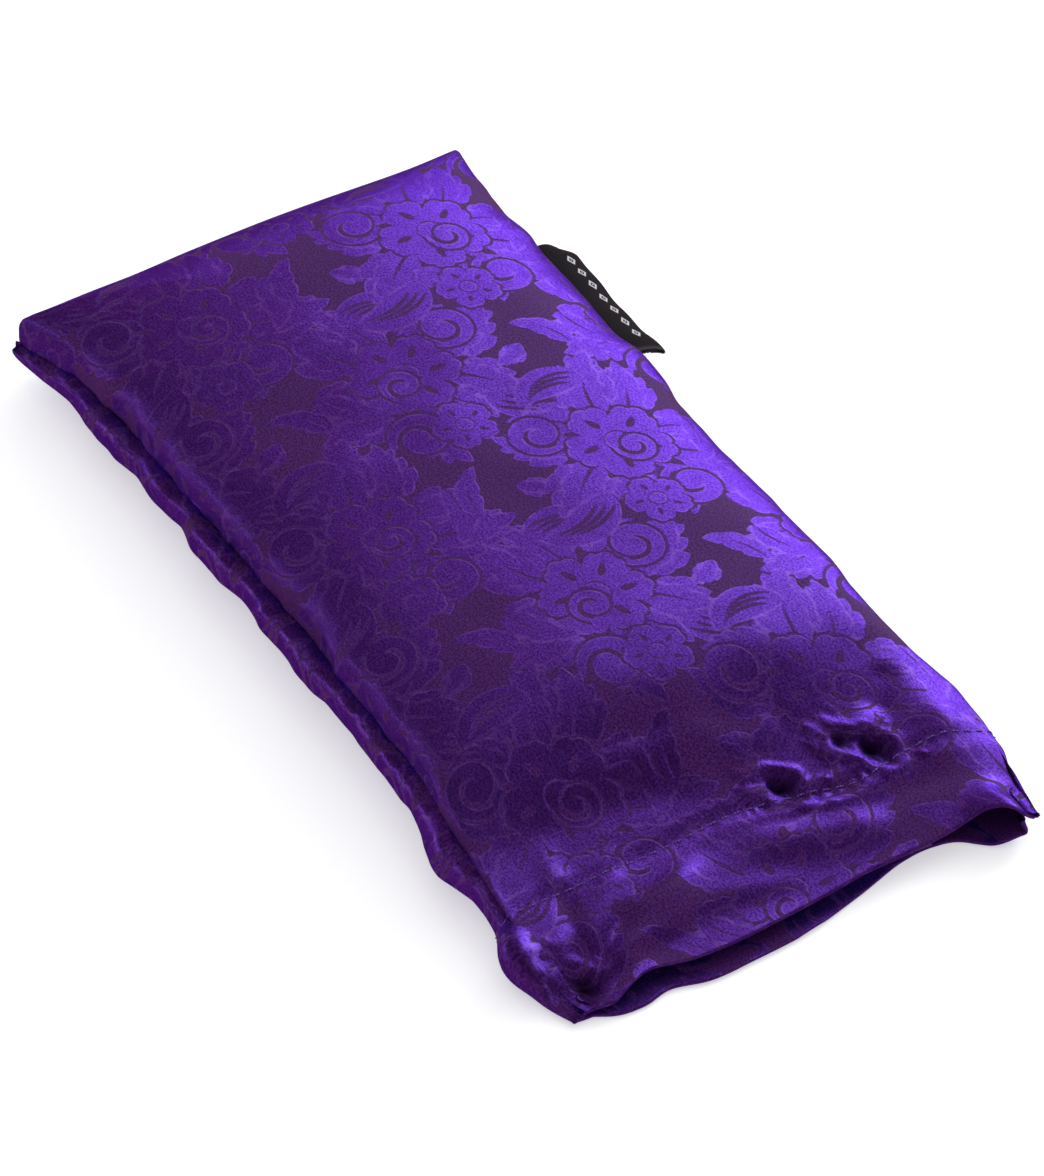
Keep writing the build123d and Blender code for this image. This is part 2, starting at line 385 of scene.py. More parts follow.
def tape_material(name, dark, light, roughness):
    """Woven tape with moulded or looped fibres standing on it."""
    m = Nodes(name)
    place = m.place()
    weave = m.add("ShaderNodeTexWave", {"Vector": place, "Scale": 280.0, "Distortion": 0.8}).outputs[1]
    fibre = m.noise(place, 2600.0, 3.0)
    colour = m.mix(m.span(m.plus(weave, fibre), 0.5, 1.5), dark, light)
    return m.finish(
        Base_Color=colour, Roughness=m.span(fibre, 0.3, 0.7, roughness - 0.1, roughness + 0.1),
        Sheen_Weight=0.08, Sheen_Roughness=0.4, Normal=m.bump(m.plus(weave, fibre), 0.0001, 0.7),
    )


def muslin_material():
    """Undyed plain-weave cotton."""
    m = Nodes("muslin")
    place = m.add("ShaderNodeSeparateXYZ", {"Vector": m.vector("cloth")})
    warp = m.math("SINE", m.times(place.outputs[0], 9.0))
    weft = m.math("SINE", m.times(place.outputs[1], 9.0))
    weave = m.times(warp, weft)
    slub = m.noise(m.vector("cloth"), 0.5, 4.0)
    colour = m.mix(m.span(slub, 0.35, 0.65), rgb(214, 203, 180), rgb(236, 229, 212))
    colour = m.mix(m.span(weave, -1, 0.2, 0.35, 0.0), colour, rgb(168, 154, 128))
    return m.finish(
        Base_Color=colour, Roughness=0.85, Sheen_Weight=0.2, Normal=m.bump(weave, 0.0001, 0.6),
    )


def seed_material():
    """Flax seeds: glossy, from gold to deep brown."""
    m = Nodes("seeds")
    kind = m.value("kind")
    place = m.place()
    speck = m.noise(place, 1800.0, 3.0)
    colour = m.mix(m.span(kind, 0.1, 0.9), rgb(70, 36, 20), rgb(176, 120, 62))
    colour = m.mix(m.times(m.span(speck, 0.5, 0.75), 0.4), colour, rgb(50, 26, 16))
    return m.finish(
        Base_Color=colour, Roughness=m.span(kind, 0, 1, 0.3, 0.42), Coat_Weight=0.25,
        Normal=m.bump(speck, 0.00005, 0.5),
    )


# ---- damask pattern


tile_length = 76.0
tile_width = 60.0
tile_step = 0.25


class Damask:
    """Signed distances to a repeating pattern of flowers, leaves, plumes and scrolls.

    figure is above zero inside a shape, and line is the distance to the nearest outline in sight.
    """

    def __init__(self):
        a, b = np.arange(0, tile_length, tile_step), np.arange(0, tile_width, tile_step)
        self.a, self.b = np.meshgrid(a, b, indexing="ij")
        self.figure = np.full(self.a.shape, -6.0)
        self.line = np.full(self.a.shape, 6.0)

    def local(self, a, b, turn, flip=1):
        """Coordinates about a repeated place, turned, and mirrored when flip is -1."""
        da = (self.a - a + tile_length / 2) % tile_length - tile_length / 2
        db = (self.b - b + tile_width / 2) % tile_width - tile_width / 2
        c, s = math.cos(turn), math.sin(turn)
        return da * c + db * s, flip * (-da * s + db * c)

    def lay(self, distance, gap=0.0):
        """Lays a shape on the ones before it, with a gap of ground round it if wanted."""
        if gap:
            self.figure = np.minimum(self.figure, distance - gap)
        self.figure = np.maximum(self.figure, -distance)
        self.line = np.where(distance < 0, -distance, np.minimum(self.line, distance))

    def cut(self, distance):
        self.figure = np.minimum(self.figure, distance)

    def blade(self, a, b, turn, length, width, curl, lobes=0, flip=1, belly=0.7):
        """How far outside a leaf-shaped blade each point is. Its middle line is an arc."""
        p, q = self.local(a, b, turn, flip)
        radius = length / (2 * curl) if curl else 1e4
        r = np.hypot(p, radius - q)
        along, across = np.arctan2(p, radius - q) * radius, radius - r
        t = along / length
        inner = np.clip(t, 0, 1)
        half = width * np.sin(np.pi * inner**belly) ** 0.75
        if lobes:
            phase = lobes * (inner - 0.35 * np.abs(across) / length)
            half = half * (0.72 + 0.28 * np.abs(np.sin(np.pi * phase)) ** 0.6)
        beyond = np.maximum(np.abs(t - 0.5) - 0.5, 0) * length
        over = (np.abs(across) - half) * 0.8
        return np.where(beyond > 0, np.hypot(np.maximum(over, 0), beyond), over)

    def leaf(self, a, b, turn, length, width, curl=0.0, lobes=0, flip=1, slit=True):
        self.lay(self.blade(a, b, turn, length, width, curl, lobes, flip))
        if slit:
            self.cut(self.blade(a, b, turn, length * 0.62, width * 0.09, curl * 0.62, 0, flip))

    def flower(self, a, b, turn, radius, petals):
        """Scalloped petals, each with a narrow eye, round a button."""
        p, q = self.local(a, b, turn)
        r, angle = np.hypot(p, q), np.arctan2(q, p)
        wave = np.abs(np.cos(petals * angle / 2))
        scallop = np.abs(np.cos(petals * 1.5 * angle))
        self.lay((r - radius * (0.56 + 0.34 * wave**0.5 + 0.1 * scallop**0.5)) * 0.8, 0.6)
        for k in range(petals):
            away = turn + 2 * math.pi * k / petals
            eye_a, eye_b = a + 0.42 * radius * math.cos(away), b + 0.42 * radius * math.sin(away)
            self.cut(self.blade(eye_a, eye_b, away, radius * 0.34, radius * 0.07, 0.15))
        self.lay(r - radius * 0.24, 0.5)

    def scroll(self, a, b, turn, radius, flip=1, width=1.8):
        """A tendril that winds in to a round end."""
        p, q = self.local(a, b, turn, flip)
        r, angle = np.hypot(p, q), np.arctan2(q, p) % (2 * np.pi)
        best = r - width * 1.3
        for k in range(2):
            wound = (angle + 2 * np.pi * k) / (3.2 * np.pi)
            share = np.clip(wound, 0, 1)
            thick = width * (0.5 + 0.8 * np.sin(np.pi * share**1.2))
            best = np.minimum(best, np.where(wound < 1, np.abs(r - radius * share) - thick, 9.0))
        self.lay(best * 0.9, 0.7)

    def plume(self, a, b, turn, size, flip=1):
        """A wide crescent with stripes cut along it."""
        self.lay(self.blade(a, b, turn, size * 1.5, size * 0.34, 0.75, 0, flip, 0.85))
        c, s = math.cos(turn), math.sin(turn)
        for k in (-1, 0, 1):
            along, over = 0.22 * size, 0.13 * size * k * flip
            self.cut(self.blade(a + along * c - over * s, b + along * s + over * c, turn + flip * 0.22,
                                size * 1.05, size * 0.035, 0.58, 0, flip))

    def acanthus(self, a, b, turn, size, flip=1, curl=0.35):
        """A broad leaf: side leaves along a curling rib, and a lobed middle over them."""
        for k in (3, 2, 1):
            share = 0.22 * k
            bend = flip * curl * 2 * share
            foot_a = a + size * share * math.cos(turn + bend / 2)
            foot_b = b + size * share * math.sin(turn + bend / 2)
            reach = size * (0.62 - 0.12 * k)
            for side in (-1, 1):
                away = turn + bend + side * 0.85
                self.leaf(foot_a, foot_b, away, reach, reach * 0.34, 0.3, 2, -side, False)
        self.leaf(a, b, turn, size, size * 0.2, curl, 4, flip)

    def draw(self):
        """Two large flowers to a tile, each on a wheel of leaves, the second turned half round."""
        for half in (0, 1):
            a, b, m = half * tile_length / 2, half * tile_width / 2, 1 - 2 * half
            for k in range(9):
                turn = m * 0.4 + 2 * math.pi * k / 9
                foot_a, foot_b = a + 8 * math.cos(turn), b + 8 * math.sin(turn)
                self.acanthus(foot_a, foot_b, turn, 17 + 3 * (k % 3), 1 - 2 * (k % 2))
            self.acanthus(a - 36, b + m * 3, 0.7 * m, 9.5, m)
            self.plume(a + 13, b + m * 12, 0.5 * m, 15, m)
            self.plume(a - 20, b - m * 4, 2.2 * m, 13, -m)
            self.scroll(a + 18, b - m * 7, 1.0, 6.5, m, 1.5)
            self.scroll(a - 9, b + m * 15, 3.0, 6.0, -m, 1.4)
            self.flower(a, b, 0.3 * m, 12.5, 6 - half)
            self.scroll(a + 2.5, b - m * 2.5, 2.0, 4.6, m, 0.9)
            self.flower(a + 19.5, b + m * 3.0, 0.8, 7.4, 5)
            self.leaf(a - 4, b - m * 19, 0.2, 17, 3.4, 0.5, 3, m)
            self.leaf(a + 6, b - m * 22, 3.3, 15, 3.0, 0.6, 3, m)
        return self.figure, self.line


def on_tile(field, a, b):
    """A field of the repeating tile, at any places of the cloth."""
    i, j = a / tile_step, b / tile_step
    i0, j0 = np.floor(i).astype(int), np.floor(j).astype(int)
    fi, fj = i - i0, j - j0
    rows, columns = field.shape

    def at(x, y):
        return field[x % rows, y % columns]

    near = at(i0, j0) * (1 - fi) + at(i0 + 1, j0) * fi
    return near * (1 - fj) + (at(i0, j0 + 1) * (1 - fi) + at(i0 + 1, j0 + 1) * fi) * fj


damask_figure, damask_line = Damask().draw()
damask_outline = np.exp(-((damask_line / 0.5) ** 2))


def cloth_values(a, b, shift=(0.0, 0.0)):
    """The flat place of each point of a cloth, and the damask there."""
    a, b = a + shift[0], b + shift[1]
    return {
        "cloth": np.stack([a, b, np.zeros_like(a)], -1),
        "figure": on_tile(damask_figure, a, b),
        "outline": on_tile(damask_outline, a, b),
    }


# ---- shape of the cover


top_spacing = 0.52
bottom_spacing = 0.62
coarse_spacing = 1.6
top_bulge = (0.9, 1.8)  # how far the cloth stands out past its seam, on the -Y and the +Y side
bottom_bulge = (3.8, 1.0)
groove_depth, groove_width = 1.3, 0.9
end_bulge_share = 0.3
end_round = 30.0
panel_width = 118.0
end_inset = 3.8
mouth_zone = (97, 112)  # the cloth settles on the height of the mouth's edge along here
slack_zone = (58, 72)  # the fill ends along here, and the slack folds begin
settle_frames = 24
free_hold = 0.25  # how firmly the cloth away from its seams keeps its place while it settles
seam_middle_z = 12.0
full_height = crown_z - seam_middle_z


def edge_profile(reach, height, bulge, flatness, squareness=0.7, count=400):
    """From a seam, out and round, and in over the fill: (distance in from the seam, height)."""
    low = bezier((0, 0), (-1.3 * bulge, 0), (-bulge, 0.1 * height), (-bulge, 0.3 * height), count)
    high = bezier(
        (-bulge, 0.3 * height), (-bulge, squareness * height),
        (flatness * reach, height), (reach, height), count,
    )
    return np.concatenate([low, high[1:]])


def seam_y(x, side):
    """The side seam in plan: pulled in along the fill, out at the corners, wide where it is slack."""
    if side < 0:
        return -through(x, (-116, 53.6), (-108, 51.8), (-96, 49.4), (-60, 48.2), (0, 48.4), (46, 49.6),
                        (64, 51.6), (78, 51.9), (94, 52.6), (106, 51.6), (116, 48.8))
    return through(x, (-116, 54.0), (-108, 51.4), (-96, 49.4), (-60, 48.7), (0, 48.8), (30, 50.0),
                   (52, 51.6), (66, 54.4), (80, 58.0), (92, 58.4), (104, 55.8), (116, 53.0))


def seam_z(x, side):
    """Height of the side seam."""
    if side < 0:
        return through(x, (-116, 8.0), (-100, 10.2), (-70, 11.8), (40, 12.6), (64, 12.2), (86, 10.0),
                       (100, 7.6), (108, 5.6), (116, 2.6))
    return through(x, (-116, 9.5), (-100, 10.8), (-70, 12.0), (50, 11.6), (66, 9.0), (86, 5.6),
                   (100, 4.6), (110, 4.6), (116, 4.8))


def crown_z_at(x):
    """Height of the top panel along the middle."""
    return through(x, (-120, 27.0), (30, 27.0), (46, 26.4), (57, 24.0), (67, 19.0), (76, 14.2),
                   (86, 10.8), (96, 8.8), (106, 6.6), (116, 5.0))


def top_mouth_x(y):
    return through(y, (-54, 112.6), (-50, 113.9), (-46, 112.6), (-38, 110.6), (-28, 112.0), (-20, 112.4),
                   (0, 111.0), (20, 109.2), (36, 109.0), (46, 109.6), (54, 114.5))


def top_mouth_z(y):
    """The mouth's top edge lies low and lifts into an open corner on the +Y side."""
    return through(y, (-56, 2.0), (-50, 2.4), (-45, 3.8), (-38, 5.4), (-28, 4.6), (-10, 5.2), (20, 5.4),
                   (35, 5.6), (42, 7.2), (47, 9.6), (51, 9.8), (54, 7.2), (58, 5.5))


def bottom_mouth_x(y):
    return through(y, (-54, 112.6), (-51, 114.4), (-44, 115.4), (-36, 114.0), (-28, 115.9), (-16, 115.6),
                   (-1, 114.2), (14, 110.5), (27, 107.0), (40, 107.5), (48, 113.0), (54, 114.5))


def hem_x(y):
    """The stitch row that holds the hem and the tape."""
    return hem_row_x + through(y, (-56, 0.0), (-20, -1.0), (2, -1.8), (14, 0.4), (24, 2.4), (32, 0.8),
                               (58, 2.0))


def along_stations(rows, bulge):
    """(x, height share) from the far seam to the mouth, at equal steps along the cloth."""
    end = edge_profile(end_round, full_height, bulge * end_bulge_share, 0.3)
    straight = mouth_x - far_x - 2 * end_inset
    rest = np.stack([np.linspace(end_round, straight, 200)[1:], np.full(199, full_height)], 1)
    line, length = resample(np.concatenate([end, rest]), rows)
    return line[:, 0] + far_x + end_inset, line[:, 1] / full_height, length


def across_stations(columns, bulge):
    """(share of the half width, height share, bulge) from the -Y seam to the +Y seam."""
    reach = 50.0
    half = edge_profile(reach, full_height, bulge, 0.42)
    left = np.stack([half[:, 0] - reach, half[:, 1]], 1)
    right = np.stack([reach - half[::-1, 0], half[::-1, 1]], 1)
    line, length = resample(np.concatenate([left, right[1:]]), columns)
    share = np.clip(line[:, 0] / reach, -1, 1)
    return share, line[:, 1] / full_height, line[:, 0] - share * reach, length


def plain_panel(step, mouth_edge, side_bulges):
    """The frame both panels share: places in plan, seam height, and how far up the crown each is."""
    rows = int((mouth_x - far_x + 10) / step)
    columns = int(panel_width / step)
    x0, rise, length = along_stations(rows, max(side_bulges))
    share, lift, bulge, width = across_stations(columns, max(side_bulges))
    bulge = bulge * np.where(share < 0, *side_bulges) / max(side_bulges)
    x0, rise = x0[:, None], rise[:, None]
    share, lift, bulge = share[None, :], lift[None, :], bulge[None, :]
    ear = (2.7 + 1.3 * share) * np.exp(-(1 - np.abs(share)) * 5.5)
    plain_mouth = mouth_x - end_inset
    x = x0 - ear * (1 - ease(x0, far_x, far_x + end_round))
    x = x + (mouth_edge(share * 55) - plain_mouth) * ease(x0, 60, plain_mouth)
    left, right = seam_y(x, -1), seam_y(x, 1)
    y = (left + right) / 2 + share * (right - left) / 2 + bulge * rise**0.5
    seam = (seam_z(x, -1) * (1 - share) + seam_z(x, 1) * (1 + share)) / 2
    a = np.broadcast_to(np.linspace(0, length, rows)[:, None], x.shape)
    b = np.broadcast_to(np.linspace(-width / 2, width / 2, columns)[None, :], x.shape)
    groove = groove_depth * np.exp(-(((width / 2 - np.abs(b)) / groove_width) ** 2))
    y = y - np.sign(b) * groove * ease(x, far_x, far_x + 8)
    return x, y, seam, rise, lift, a, b


def ridge(x, y, start, end, width, height):
    """A soft fold along a line, fading at both its ends."""
    (x0, y0), (x1, y1) = start, end
    length = math.hypot(x1 - x0, y1 - y0)
    t = ((x - x0) * (x1 - x0) + (y - y0) * (y1 - y0)) / length**2
    off = ((x - x0) * (y1 - y0) - (y - y0) * (x1 - x0)) / length
    fade = np.clip(np.minimum(t, 1 - t) * 3.2, 0, 1)
    return height * np.exp(-((off / width) ** 2)) * fade * fade * (3 - 2 * fade)


tucks = (  # where a stitch pulls the top cloth down: place, radius, depth, turn, stretch, strength of the painted shade
    ((84.2, 12.4), 1.5, 2.8, 0.9, 1.7, 1.0), ((80.8, 28.6), 1.4, 2.0, 0.7, 1.4, 0.8),
    ((84.2, 34.2), 1.7, 2.6, 0.6, 1.9, 1.0), ((107.5, -48.0), 1.9, 2.8, 0.5, 1.6, 1.0),
)


def pit(x, y, place, radius, depth, turn, stretch, painted_shade_strength):
    """(lift, painted shade) of a tuck, with the cloth puffed up round it."""
    c, s = math.cos(turn), math.sin(turn)
    p = ((x - place[0]) * c + (y - place[1]) * s) / stretch
    q = -(x - place[0]) * s + (y - place[1]) * c
    r = np.hypot(p, q) / radius * (1 + 0.3 * noise(p, q, 1.7, 51))
    lift = -depth * np.exp(-(r**2)) + 0.2 * depth * np.exp(-((r - 2.4) ** 2) * 0.9)
    return lift, painted_shade_strength * np.exp(-((r / 1.05) ** 2))


def slack_folds(x, y):
    """Folds and tucks in the unfilled end of the top panel."""
    lift = sum(pit(x, y, *tuck)[0] for tuck in tucks)
    corner = (107.0, -47.0)
    for tip, width, height in (
        ((92, -8), 3.2, 1.9), ((82, -24), 3.4, 0.9), ((74, -38), 2.6, 0.8), ((101, -14), 2.4, 1.4),
        ((96, -28), 2.6, -2.0), ((84, -40), 2.4, -1.8), ((108, -32), 1.6, 1.0),
    ):
        lift += ridge(x, y, corner, tip, width, height)
    puffed = 2.8 * np.exp(-(((x - 80) / 11) ** 2) - ((y - 52) / 9) ** 2)
    for start, end, width, height in (
        ((53, -47), (66, 4), 4.2, -1.7), ((66, 2), (73, 24), 3.6, -1.0), ((72, -44), (77, 2), 4.5, -1.1),
        ((77, 2), (70, 22), 4.0, 1.0), ((76, 42), (84, 22), 3.0, 1.0),
        ((68, 48), (80, 38), 3.2, -1.2), ((80, 56), (96, 40), 3.5, 1.4), ((94, 52), (98, 20), 3.0, -1.0),
        ((92, -6), (104, 34), 4.0, 0.9), ((98, -30), (106, 10), 3.0, 0.7), ((64, -30), (72, 30), 3.5, 0.7),
    ):
        lift += ridge(x, y, start, end, width, height)
    return lift * ease(x, *slack_zone) * (1 - 0.7 * ease(x, 104, 111)) + puffed


def painted_hollow_shade(x, y, a, b):
    """How much painted shade darkens the cloth's colour: in the tucks, and down in the seam groove."""
    groove = 0.9 * np.exp(-(((b.max() - np.abs(b)) / groove_width) ** 2))
    return np.maximum(groove, sum(pit(x, y, *tuck)[1] for tuck in tucks)).clip(0, 1)


def hem_row(x, y):
    """The stitch row: a shallow channel, gathered into small pearls."""
    off = x - hem_x(y)
    strength = 0.25 + 0.75 * np.exp(-(((y - 18) / 14) ** 2))
    pearls = np.cos(2 * np.pi * y / 2.9 + 2.5 * noise(x * 0, y, 6, 5)) * (0.6 + 0.6 * noise(x, y, 5, 6))
    channel = -0.7 * np.exp(-((off / 1.5) ** 2)) + 0.4 * np.exp(-((np.abs(off) - 3.0) / 1.3) ** 2)
    return strength * (channel + 0.4 * pearls * np.exp(-((off / 1.6) ** 2)))


def seam_puckers(a, b, width, seed, tall, fine):
    """Small folds that run in from the side seams."""
    edge = width / 2 - np.abs(b)
    which = np.where(b < 0, 0.0, 300.0)
    long_folds = noise(a + which, edge * 0.25, 9.0, seed) * np.exp(-((edge / 12) ** 2)) * ease(edge, 0, 4)
    short_folds = noise(a + which, edge * 0.3, 3.6, seed + 1) * np.exp(-edge / 5) * ease(edge, 0, 2)
    return tall * long_folds + fine * short_folds


def top_panel(step):
    x, y, seam, rise, lift, a, b = plain_panel(step, top_mouth_x, top_bulge)
    settled = rise * lift
    full_corner = 0.6 * (np.minimum(rise, lift) - settled) * (y < 0) * ease(-x, 70, 100)
    z = seam + (crown_z_at(x) - seam) * (settled + full_corner)
    z = z + (top_mouth_z(y) - z) * ease(x, *mouth_zone)
    points = np.stack([x, y, z], -1)
    swell = 0.8 * noise(a, b, 34, 11) + 0.35 * noise(a, b, 13, 12)
    swell = swell * settled + 0.7 * noise(a, b * 0.4, 15, 13) * settled * (1 - settled) * 3
    detail = swell + slack_folds(x, y) * lift + hem_row(x, y) * lift
    detail = detail + seam_puckers(a, b, 2 * b.max(), 21, 0.9, 0.5)
    return points + normals_of(points) * detail[..., None], a, b


def bottom_panel(step):
    x, y, seam, rise, lift, a, b = plain_panel(step, bottom_mouth_x, bottom_bulge)
    depth = np.minimum(lift * 1.35, 1.0) ** 0.9 * rise
    seam = seam + (top_mouth_z(y) - seam) * ease(x, *mouth_zone)
    z = seam * (1 - depth)
    points = np.stack([x, y, z], -1)
    edge = b.max() - np.abs(b)
    pushed = 2.6 * np.exp(-(((x - 98) / 11) ** 2)) + 2.6 * np.exp(-(((x - 63) / 9) ** 2))
    pushed = pushed * np.exp(-(((edge - 8) / 6) ** 2)) * (b < 0)
    detail = -seam_puckers(a, b, 2 * b.max(), 31, 2.2, 1.1) - pushed
    detail = detail - 0.8 * noise(a, b, 9, 33) * ease(x, 96, 110)
    points = points + normals_of(points) * detail[..., None]
    points[..., 2] = np.maximum(points[..., 2], 0.15 + 0.15 * noise(a, b, 11, 35))
    return points, a, b


def catmull_matrix(count, wanted):
    """Weights that carry count values to wanted values by a smooth curve."""
    place = np.linspace(0, count - 1, wanted)
    i = np.minimum(place.astype(int), count - 2)
    t = place - i
    weights = np.zeros((wanted, count))
    parts = (
        -0.5 * t + t**2 - 0.5 * t**3, 1 - 2.5 * t**2 + 1.5 * t**3,
        0.5 * t + 2 * t**2 - 1.5 * t**3, -0.5 * t**2 + 0.5 * t**3,
    )
    for offset, part in zip((-1, 0, 1, 2), parts):
        np.add.at(weights, (np.arange(wanted), np.clip(i + offset, 0, count - 1)), part)
    return weights


def enlarge(field, rows, columns):
    """A coarse grid of values, carried smoothly to a finer grid."""
    down = catmull_matrix(field.shape[0], rows)
    over = catmull_matrix(field.shape[1], columns)
    return np.einsum("ri,ijk,cj->rck", down, field, over)


def settle(points, hold, slack, cap):
    """Lets a coarse copy of the cloth, a little larger than its form, buckle and sag by simulation.

    hold says how firmly each point keeps its place. Returns how far each point moved.
    """
    form = Shape()
    form.add(points)
    cloth = form.piece("settling", bpy.data.materials.new("settling"))
    group = cloth.vertex_groups.new(name="hold")
    levels = np.round(hold.reshape(-1), 2)
    for level in np.unique(levels):
        group.add(np.nonzero(levels == level)[0].tolist(), float(level), "REPLACE")
    modifier = cloth.modifiers.new("Cloth", "CLOTH")
    settings = modifier.settings
    for key, value in dict(
        quality=6, mass=0.12, tension_stiffness=18, compression_stiffness=18, shear_stiffness=4,
        bending_stiffness=0.04, air_damping=3, vertex_group_mass="hold", pin_stiffness=1.2, shrink_min=-slack,
    ).items():
        setattr(settings, key, value)
    settings.effector_weights.gravity = 0.35
    modifier.collision_settings.use_collision = False
    modifier.point_cache.frame_start = 1
    modifier.point_cache.frame_end = settle_frames
    scene = bpy.context.scene
    for frame_number in range(1, settle_frames + 1):
        scene.frame_set(frame_number)
    evaluated = cloth.evaluated_get(bpy.context.evaluated_depsgraph_get())
    moved = np.zeros(points.size, np.float32)
    evaluated.data.vertices.foreach_get("co", moved)
    moved = moved.reshape(points.shape) / MM - points
    scene.frame_set(1)
    bpy.data.objects.remove(cloth)
    length = np.linalg.norm(moved, axis=2, keepdims=True)
    return moved * np.minimum(1, cap / np.maximum(length, 1e-6))


def settled_panel(panel, step, slack, cap):
    """A fine panel with the buckles of its simulated coarse copy."""
    points, a, b = panel(step)
    coarse, coarse_a, coarse_b = panel(coarse_spacing)
    edge = np.minimum(coarse_b.max() - np.abs(coarse_b), np.minimum(coarse_a, coarse_a.max() - coarse_a))
    hold = free_hold + (1 - free_hold) * (1 - ease(edge, 0, 2.5))
    moved = settle(coarse, hold, slack, cap)
    return points + enlarge(moved, *points.shape[:2]), a, b


# ---- hanging pieces on bodies, or baking them in place


def place(piece, slot, follows, *nodes):
    """Hides the nodes a piece stands for, and bakes its transform in place, or hangs it on a body when it
    follows one. The slot is not used.
    """
    if follows == "bend":
        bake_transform(piece)
    elif follows == "lip":
        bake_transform(piece)
        spots = np.zeros(3 * len(piece.data.vertices), np.float32)
        piece.data.vertices.foreach_get("co", spots)
        spots = spots.reshape(-1, 3) / MM
    elif follows == "flap":
        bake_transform(piece)
    else:
        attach(piece, follows)
    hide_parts(*nodes)


# ---- cover


fold_radius = 0.45
hem_inset = 5.0


def turned_hem(points, a, b, inside):
    """The mouth edge of a panel, folded in over itself as far as its stitch row, clear of the side seams."""
    inward = normals_of(points) * inside
    columns = points.shape[1]

    def drawn_in(grid, share):
        """The same rows, squeezed along their length so their ends stop short of the seams."""
        inset = hem_inset * share * columns / panel_width
        return pick(np.swapaxes(grid, 0, 1), np.linspace(inset, columns - 1 - inset, columns)).swapaxes(0, 1)

    outward = points[-1] - points[-2]
    outward /= np.linalg.norm(outward, axis=1, keepdims=True)
    rows = [
        drawn_in((points[-1] + inward[-1] * fold_radius * (1 - math.cos(turn))
                  + outward * fold_radius * math.sin(turn))[None], turn / math.pi)[0]
        for turn in np.radians([30, 60, 90, 120, 150])
    ]
    first = int(np.argmax(points[:, columns // 2, 0] > hem_row_x - 1.5))
    back = (points + inward * 2 * fold_radius)[first:][::-3]
    rows = np.concatenate([np.array(rows), drawn_in(back, 1.0)])
    step = np.linalg.norm(np.diff(np.concatenate([points[-1:], rows]), axis=0), axis=2).mean(1)
    hem_a = a[-1:] + np.cumsum(step)[:, None]
    return (
        np.concatenate([points, rows]),
        np.concatenate([a, hem_a]),
        np.concatenate([b, np.broadcast_to(b[-1:], (len(rows), b.shape[1]))]),
    )


top, top_a, top_b = settled_panel(top_panel, top_spacing, 0.025, 2.0)
bottom, bottom_a, bottom_b = settled_panel(bottom_panel, bottom_spacing, 0.03, 2.5)
bottom[..., 2] = np.maximum(bottom[..., 2], 0.0)
brocade = brocade_material()


def make_cover():
    """The top cloth in two pieces that share one row of points, and the bottom cloth."""
    points, a, b = turned_hem(top, top_a, top_b, -1)
    split = int(np.argmax(top[..., 0].max(axis=1) > lip_x)) - 1  # this whole row is before the lip turns
    values, normals = cloth_values(a, b), normals_of(points)
    # painted shade for the tucks and the seam groove, read by the brocade material
    values["hollow"] = painted_hollow_shade(points[..., 0], points[..., 1], a, b)
    for name, rows, follows, nodes in (
        ("cover_top", slice(0, split + 1), "bend", ("cover_top_far", "cover_top_near")),
        ("cover_lip", slice(split, None), "lip", ("cover_top_lip",)),
    ):
        sheet = Shape()
        own = {key: value[rows] for key, value in values.items()}
        sheet.add(points[rows], normals=normals[rows], **own)
        place(sheet.piece(name, brocade), "brocade", follows, *nodes)

    points, a, b = turned_hem(bottom, bottom_a, bottom_b, 1)
    points[..., 2] = np.maximum(points[..., 2], 0.0)
    values = {key: value[:, ::-1] for key, value in cloth_values(a, b, (20.0, 11.0)).items()}
    sheet = Shape()
    sheet.add(points[:, ::-1], **values)
    under = sheet.piece("cover_bottom", brocade)
    place(under, "brocade", "bend", "cover_bottom_far", "cover_bottom_near")


make_cover()


# ---- sewing


stitch_radius = 0.16
seam_stitch = (2.6, 0.6)  # pitch, and the share of it that a stitch fills
hem_stitch = (2.9, 0.66)
tape_stitch = (2.4, 0.7)
bag_stitch = (2.8, 0.7)
stitch_stations = np.array([-1.0, -0.94, -0.7, 0.0, 0.7, 0.94, 1.0])
stitch_taper = np.array([0.35, 0.75, 1.0, 1.0, 1.0, 0.75, 0.35])
purple_thread = thread_material("sewing_thread", rgb(70, 32, 122), rgb(124, 80, 200))
cotton_thread = thread_material("cotton_thread", rgb(190, 178, 150), rgb(238, 230, 210))


def stitch_run(line, up, pitch, share, sink=0.1):
    """Paths of the stitches along a polyline: each fills a share of its pitch and dips at its ends.

    sink says how far a stitch is drawn down into the cloth, in stitch radii.
    """
    length = np.linalg.norm(np.diff(line, axis=0), axis=1).sum()
    count = max(int(length / pitch), 2)
    ends, _ = spaced(line, 2 * count + 1)
    here, normal = pick(line, ends), pick(up, ends)
    middle, normal = here[1::2], normal[1::2]
    reach = (here[2::2] - here[:-1:2]) / 2 * share
    t = stitch_stations[None, :, None]
    bow = normal[:, None] * (1.0 - sink - 2.2 * t**4) * stitch_radius
    return middle[:, None] + reach[:, None] * t + bow, normal[:, None]


def sew(name, runs, material):
    threads = Shape()
    for paths, up in runs:
        threads.tubes(paths, stitch_taper * stitch_radius, up)
    return threads.piece(name, material)


def edge_line(points, column, outward, low, high):
    """The seam along one side of a panel between two x places, and the way out of it."""
    line = points[:, column]
    line = line[(line[:, 0] > low) & (line[:, 0] < high)]
    return line + np.array(outward) * 0.25, np.broadcast_to(np.array(outward, float), line.shape)


def row_line(points):
    """The hem's stitch row on a panel, and its normals."""
    facing = normals_of(points)
    start = len(points) // 2
    rows = np.arange(start, len(points))
    line, up = [], []
    for column in range(2, points.shape[1] - 2, 2):
        spot = points[start:, column]
        row = np.interp(hem_x(spot[len(spot) // 2, 1]), spot[:, 0], rows)
        line.append(pick(points[:, column], np.array([row]))[0])
        up.append(facing[int(row), column])
    return np.array(line), np.array(up)


